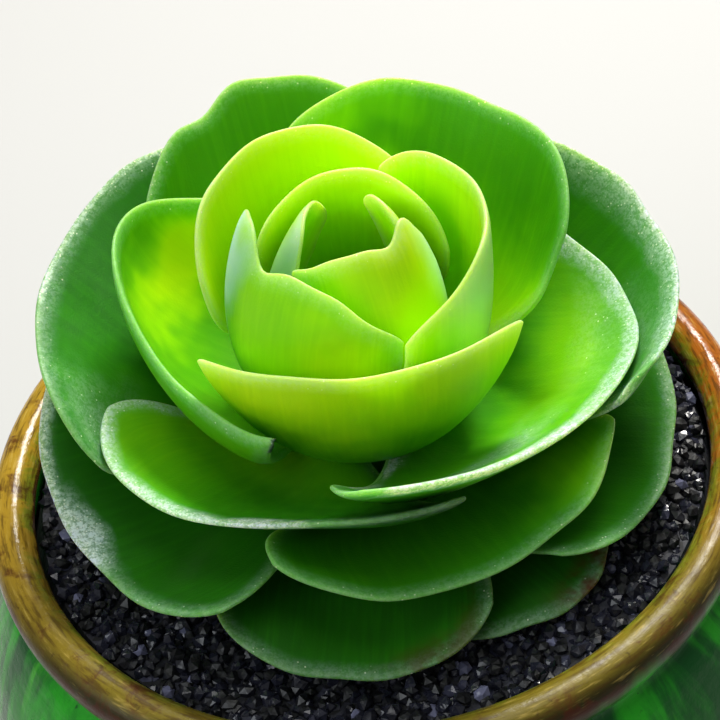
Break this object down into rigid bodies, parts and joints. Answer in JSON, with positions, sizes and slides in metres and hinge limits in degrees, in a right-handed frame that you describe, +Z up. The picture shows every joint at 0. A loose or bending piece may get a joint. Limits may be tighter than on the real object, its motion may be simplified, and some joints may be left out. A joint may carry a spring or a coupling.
{
  "type": "potted succulent",
  "caption": "Rosette succulent with cupped, overlapping fleshy leaves like an opening rose, on a short stem rooted in dark grit in a round glazed pot with a rolled rim",
  "frame": {"origin": "centre of the pot's foot, on the surface that it stands on", "axes": "+Z up out of the pot, +X to the right and -Y to the front as the picture shows the plant; the rosette leans a little to the front and the right"},
  "size_m": [0.093, 0.093, 0.0987],
  "materials": {
    "glaze": "glossy amber glaze on the rim, running to streaked green on the body",
    "grit": "coarse near-black granules with small bluish glints",
    "stem": "matt, woody, green-brown",
    "heart": "fleshy, satin, bright green",
    "inner_leaf": "fleshy and translucent, satin, bright yellow-green with a pale margin",
    "middle_leaf": "fleshy and translucent, satin, fresh green with a pale, frosted margin",
    "outer_leaf": "fleshy, satin, deep green with a pale margin and a few brown marks"
  },
  "bodies": {
    "root": {"pot": "glaze", "grit": "grit", "stem": "stem", "heart": "heart", "leaf_01": "inner_leaf", "leaf_02": "inner_leaf", "leaf_03": "inner_leaf", "leaf_04": "inner_leaf", "leaf_05": "inner_leaf", "leaf_06": "inner_leaf", "leaf_07": "inner_leaf", "leaf_08": "middle_leaf", "leaf_09": "middle_leaf", "leaf_10": "middle_leaf", "leaf_11": "middle_leaf", "leaf_12": "middle_leaf", "leaf_13": "middle_leaf", "leaf_14": "middle_leaf", "leaf_15": "middle_leaf", "leaf_16": "outer_leaf", "leaf_17": "outer_leaf", "leaf_18": "outer_leaf", "leaf_19": "outer_leaf", "leaf_20": "outer_leaf", "leaf_21": "outer_leaf", "leaf_22": "outer_leaf", "leaf_23": "outer_leaf", "leaf_24": "outer_leaf", "leaf_25": "outer_leaf"}
  },
  "joints": []
}
